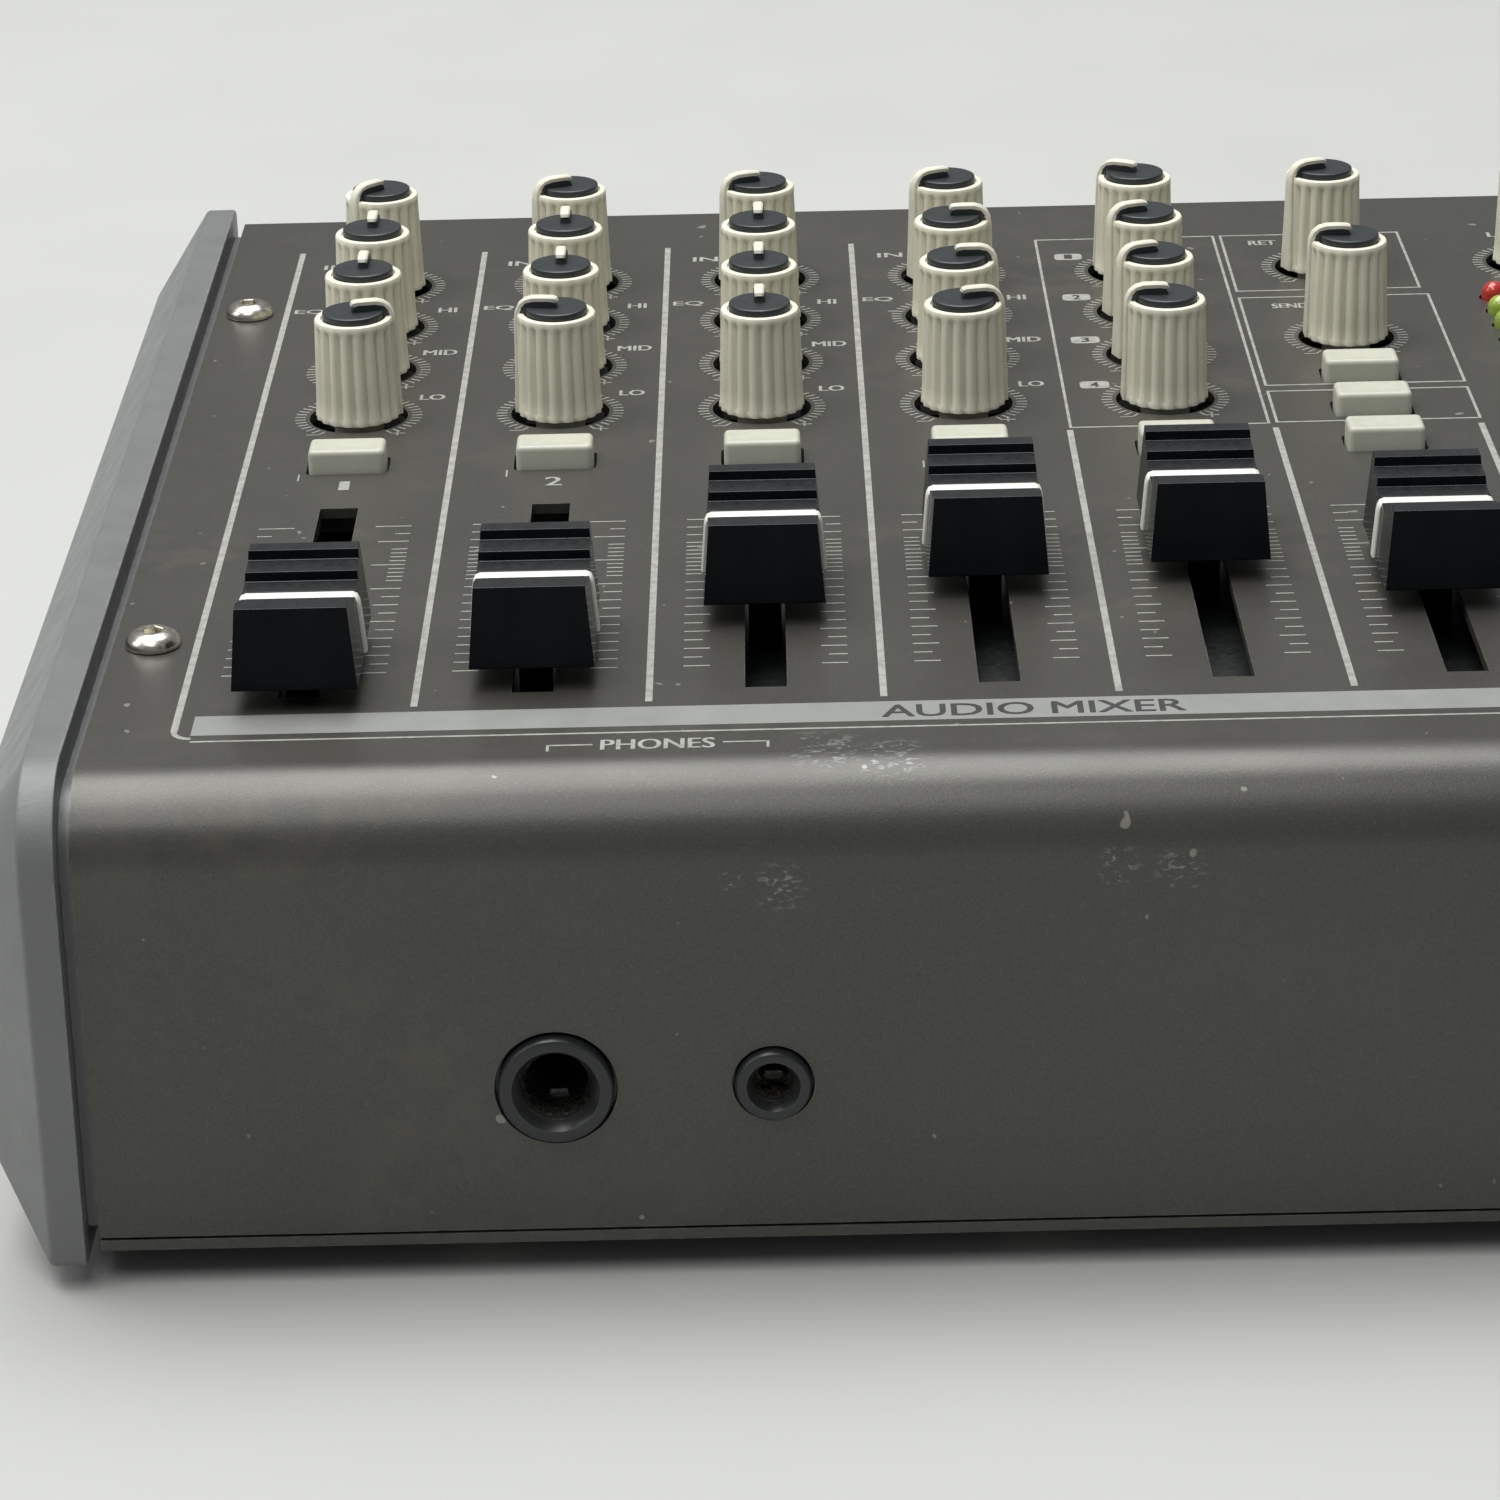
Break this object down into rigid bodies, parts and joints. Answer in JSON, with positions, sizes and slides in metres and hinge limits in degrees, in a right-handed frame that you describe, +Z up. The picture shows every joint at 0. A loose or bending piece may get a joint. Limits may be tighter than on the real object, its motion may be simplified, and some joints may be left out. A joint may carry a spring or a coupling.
{
  "type": "dj mixer",
  "caption": "Compact desktop audio mixer: bent-sheet case, bevelled end cheeks, rotary knobs, faders and push buttons on top, phones jacks in front.",
  "frame": {"origin": "centre of the footprint on the surface the rubber feet stand on", "axes": "+Z up, -Y towards the user (the front face with the phones jacks), +X to the right of the user"},
  "size_m": [0.2196, 0.207, 0.0716],
  "materials": {
    "case_paint": "fine-texture metallic charcoal paint",
    "cheek_plastic": "satin moulded plastic",
    "circuit_board": "solder mask",
    "lamp_plastic": "clear tinted",
    "screw_nickel": "nickel plated",
    "foot_rubber": "matt",
    "jack_plastic": "satin",
    "knob_plastic": "satin moulded plastic",
    "cap_plastic": "gloss",
    "button_plastic": "satin moulded plastic"
  },
  "bodies": {
    "case": {"top_case": "case_paint", "bottom_chassis": "case_paint", "left_cheek": "cheek_plastic", "right_cheek": "cheek_plastic", "panel_screw_1": "screw_nickel", "panel_screw_2": "screw_nickel", "panel_screw_3": "screw_nickel", "panel_screw_4": "screw_nickel", "foot_1": "foot_rubber", "foot_2": "foot_rubber", "foot_3": "foot_rubber", "foot_4": "foot_rubber", "control_board": "circuit_board", "level_meter": "lamp_plastic", "phones_jack": "jack_plastic", "phones_mini_jack": "jack_plastic", "input_jack_1": "jack_plastic", "input_jack_2": "jack_plastic", "input_jack_3": "jack_plastic", "input_jack_4": "jack_plastic", "output_board": "jack_plastic"},
    "ch1_low_knob": {"ch1_low_knob": "knob_plastic"},
    "ch1_mid_knob": {"ch1_mid_knob": "knob_plastic"},
    "ch1_high_knob": {"ch1_high_knob": "knob_plastic"},
    "ch1_gain_knob": {"ch1_gain_knob": "knob_plastic"},
    "ch2_low_knob": {"ch2_low_knob": "knob_plastic"},
    "ch2_mid_knob": {"ch2_mid_knob": "knob_plastic"},
    "ch2_high_knob": {"ch2_high_knob": "knob_plastic"},
    "ch2_gain_knob": {"ch2_gain_knob": "knob_plastic"},
    "ch3_low_knob": {"ch3_low_knob": "knob_plastic"},
    "ch3_mid_knob": {"ch3_mid_knob": "knob_plastic"},
    "ch3_high_knob": {"ch3_high_knob": "knob_plastic"},
    "ch3_gain_knob": {"ch3_gain_knob": "knob_plastic"},
    "ch4_low_knob": {"ch4_low_knob": "knob_plastic"},
    "ch4_mid_knob": {"ch4_mid_knob": "knob_plastic"},
    "ch4_high_knob": {"ch4_high_knob": "knob_plastic"},
    "ch4_gain_knob": {"ch4_gain_knob": "knob_plastic"},
    "aux_knob_4": {"aux_knob_4": "knob_plastic"},
    "aux_knob_3": {"aux_knob_3": "knob_plastic"},
    "aux_knob_2": {"aux_knob_2": "knob_plastic"},
    "aux_knob_1": {"aux_knob_1": "knob_plastic"},
    "return_knob_upper": {"return_knob_upper": "knob_plastic"},
    "return_knob_lower": {"return_knob_lower": "knob_plastic"},
    "phones_level_knob": {"phones_level_knob": "knob_plastic"},
    "ch1_fader": {"ch1_fader": "cap_plastic"},
    "ch2_fader": {"ch2_fader": "cap_plastic"},
    "ch3_fader": {"ch3_fader": "cap_plastic"},
    "ch4_fader": {"ch4_fader": "cap_plastic"},
    "ch5_fader": {"ch5_fader": "cap_plastic"},
    "ch6_fader": {"ch6_fader": "cap_plastic"},
    "main_fader": {"main_fader": "cap_plastic"},
    "ch1_button": {"ch1_button": "button_plastic"},
    "ch2_button": {"ch2_button": "button_plastic"},
    "ch3_button": {"ch3_button": "button_plastic"},
    "ch4_button": {"ch4_button": "button_plastic"},
    "ch5_button": {"ch5_button": "button_plastic"},
    "assign_button_1": {"assign_button_1": "button_plastic"},
    "assign_button_2": {"assign_button_2": "button_plastic"},
    "assign_button_3": {"assign_button_3": "button_plastic"},
    "power_rocker": {"power_rocker": "jack_plastic"}
  },
  "joints": [
    {"name": "ch1_low_turn", "type": "hinge", "parent": "case", "child": "ch1_low_knob", "pos_m": [-0.0766, 0.01205, 0.06169], "axis": [0, 0.0175, -0.9998], "range_deg": [-230, 70]},
    {"name": "ch1_mid_turn", "type": "hinge", "parent": "case", "child": "ch1_mid_knob", "pos_m": [-0.0766, 0.02904, 0.06199], "axis": [0, 0.0175, -0.9998], "range_deg": [-150, 150]},
    {"name": "ch1_high_turn", "type": "hinge", "parent": "case", "child": "ch1_high_knob", "pos_m": [-0.0766, 0.04604, 0.06229], "axis": [0, 0.0175, -0.9998], "range_deg": [-150, 150]},
    {"name": "ch1_gain_turn", "type": "hinge", "parent": "case", "child": "ch1_gain_knob", "pos_m": [-0.0766, 0.06304, 0.06258], "axis": [0, 0.0175, -0.9998], "range_deg": [-15, 285]},
    {"name": "ch2_low_turn", "type": "hinge", "parent": "case", "child": "ch2_low_knob", "pos_m": [-0.0521, 0.01205, 0.06169], "axis": [0, 0.0175, -0.9998], "range_deg": [-65, 235]},
    {"name": "ch2_mid_turn", "type": "hinge", "parent": "case", "child": "ch2_mid_knob", "pos_m": [-0.0521, 0.02904, 0.06199], "axis": [0, 0.0175, -0.9998], "range_deg": [-150, 150]},
    {"name": "ch2_high_turn", "type": "hinge", "parent": "case", "child": "ch2_high_knob", "pos_m": [-0.0521, 0.04604, 0.06229], "axis": [0, 0.0175, -0.9998], "range_deg": [-150, 150]},
    {"name": "ch2_gain_turn", "type": "hinge", "parent": "case", "child": "ch2_gain_knob", "pos_m": [-0.0521, 0.06304, 0.06258], "axis": [0, 0.0175, -0.9998], "range_deg": [-35, 265]},
    {"name": "ch3_low_turn", "type": "hinge", "parent": "case", "child": "ch3_low_knob", "pos_m": [-0.0276, 0.01205, 0.06169], "axis": [0, 0.0175, -0.9998], "range_deg": [-150, 150]},
    {"name": "ch3_mid_turn", "type": "hinge", "parent": "case", "child": "ch3_mid_knob", "pos_m": [-0.0276, 0.02904, 0.06199], "axis": [0, 0.0175, -0.9998], "range_deg": [-150, 150]},
    {"name": "ch3_high_turn", "type": "hinge", "parent": "case", "child": "ch3_high_knob", "pos_m": [-0.0276, 0.04604, 0.06229], "axis": [0, 0.0175, -0.9998], "range_deg": [-150, 150]},
    {"name": "ch3_gain_turn", "type": "hinge", "parent": "case", "child": "ch3_gain_knob", "pos_m": [-0.0276, 0.06304, 0.06258], "axis": [0, 0.0175, -0.9998], "range_deg": [-40, 260]},
    {"name": "ch4_low_turn", "type": "hinge", "parent": "case", "child": "ch4_low_knob", "pos_m": [-0.0031, 0.01205, 0.06169], "axis": [0, 0.0175, -0.9998], "range_deg": [-230, 70]},
    {"name": "ch4_mid_turn", "type": "hinge", "parent": "case", "child": "ch4_mid_knob", "pos_m": [-0.0031, 0.02904, 0.06199], "axis": [0, 0.0175, -0.9998], "range_deg": [-240, 60]},
    {"name": "ch4_high_turn", "type": "hinge", "parent": "case", "child": "ch4_high_knob", "pos_m": [-0.0031, 0.04604, 0.06229], "axis": [0, 0.0175, -0.9998], "range_deg": [-240, 60]},
    {"name": "ch4_gain_turn", "type": "hinge", "parent": "case", "child": "ch4_gain_knob", "pos_m": [-0.0031, 0.06304, 0.06258], "axis": [0, 0.0175, -0.9998], "range_deg": [-35, 265]},
    {"name": "aux_knob_4_turn", "type": "hinge", "parent": "case", "child": "aux_knob_4", "pos_m": [0.0214, 0.01205, 0.06169], "axis": [0, 0.0175, -0.9998], "range_deg": [-58, 242]},
    {"name": "aux_knob_3_turn", "type": "hinge", "parent": "case", "child": "aux_knob_3", "pos_m": [0.0214, 0.02904, 0.06199], "axis": [0, 0.0175, -0.9998], "range_deg": [-40, 260]},
    {"name": "aux_knob_2_turn", "type": "hinge", "parent": "case", "child": "aux_knob_2", "pos_m": [0.0214, 0.04604, 0.06229], "axis": [0, 0.0175, -0.9998], "range_deg": [-40, 260]},
    {"name": "aux_knob_1_turn", "type": "hinge", "parent": "case", "child": "aux_knob_1", "pos_m": [0.0214, 0.06304, 0.06258], "axis": [0, 0.0175, -0.9998], "range_deg": [-85, 215]},
    {"name": "return_upper_turn", "type": "hinge", "parent": "case", "child": "return_knob_upper", "pos_m": [0.0459, 0.06304, 0.06258], "axis": [0, 0.0175, -0.9998], "range_deg": [-38, 262]},
    {"name": "return_lower_turn", "type": "hinge", "parent": "case", "child": "return_knob_lower", "pos_m": [0.0459, 0.03404, 0.06208], "axis": [0, 0.0175, -0.9998], "range_deg": [-60, 240]},
    {"name": "phones_level_turn", "type": "hinge", "parent": "case", "child": "phones_level_knob", "pos_m": [0.0736, 0.06304, 0.06258], "axis": [0, 0.0175, -0.9998], "range_deg": [-150, 150]},
    {"name": "ch1_fader_slide", "type": "slide", "parent": "case", "child": "ch1_fader", "axis": [0, 0.9998, 0.0175], "range_m": [0, 0.044]},
    {"name": "ch2_fader_slide", "type": "slide", "parent": "case", "child": "ch2_fader", "axis": [0, 0.9998, 0.0175], "range_m": [-0.0046, 0.0394]},
    {"name": "ch3_fader_slide", "type": "slide", "parent": "case", "child": "ch3_fader", "axis": [0, 0.9998, 0.0175], "range_m": [-0.0214, 0.0226]},
    {"name": "ch4_fader_slide", "type": "slide", "parent": "case", "child": "ch4_fader", "axis": [0, 0.9998, 0.0175], "range_m": [-0.0283, 0.0157]},
    {"name": "ch5_fader_slide", "type": "slide", "parent": "case", "child": "ch5_fader", "axis": [0, 0.9998, 0.0175], "range_m": [-0.0313, 0.0127]},
    {"name": "ch6_fader_slide", "type": "slide", "parent": "case", "child": "ch6_fader", "axis": [0, 0.9998, 0.0175], "range_m": [-0.0212, 0.0228]},
    {"name": "main_fader_slide", "type": "slide", "parent": "case", "child": "main_fader", "axis": [0, 0.9998, 0.0175], "range_m": [-0.0313, 0.0127]},
    {"name": "ch1_button_press", "type": "slide", "parent": "case", "child": "ch1_button", "axis": [0, 0.0175, -0.9998], "range_m": [0, 0.0015], "stiffness_N_per_m": 250},
    {"name": "ch2_button_press", "type": "slide", "parent": "case", "child": "ch2_button", "axis": [0, 0.0175, -0.9998], "range_m": [0, 0.0015], "stiffness_N_per_m": 250},
    {"name": "ch3_button_press", "type": "slide", "parent": "case", "child": "ch3_button", "axis": [0, 0.0175, -0.9998], "range_m": [0, 0.0015], "stiffness_N_per_m": 250},
    {"name": "ch4_button_press", "type": "slide", "parent": "case", "child": "ch4_button", "axis": [0, 0.0175, -0.9998], "range_m": [0, 0.0015], "stiffness_N_per_m": 250},
    {"name": "ch5_button_press", "type": "slide", "parent": "case", "child": "ch5_button", "axis": [0, 0.0175, -0.9998], "range_m": [0, 0.0015], "stiffness_N_per_m": 250},
    {"name": "assign_button_1_press", "type": "slide", "parent": "case", "child": "assign_button_1", "axis": [0, 0.0175, -0.9998], "range_m": [0, 0.0015], "stiffness_N_per_m": 250},
    {"name": "assign_button_2_press", "type": "slide", "parent": "case", "child": "assign_button_2", "axis": [0, 0.0175, -0.9998], "range_m": [0, 0.0015], "stiffness_N_per_m": 250},
    {"name": "assign_button_3_press", "type": "slide", "parent": "case", "child": "assign_button_3", "axis": [0, 0.0175, -0.9998], "range_m": [0, 0.0015], "stiffness_N_per_m": 250},
    {"name": "power_rocker_tilt", "type": "hinge", "parent": "case", "child": "power_rocker", "pos_m": [0.084, 0.09435, 0.025], "axis": [-1, 0, 0], "range_deg": [0, 16]}
  ]
}
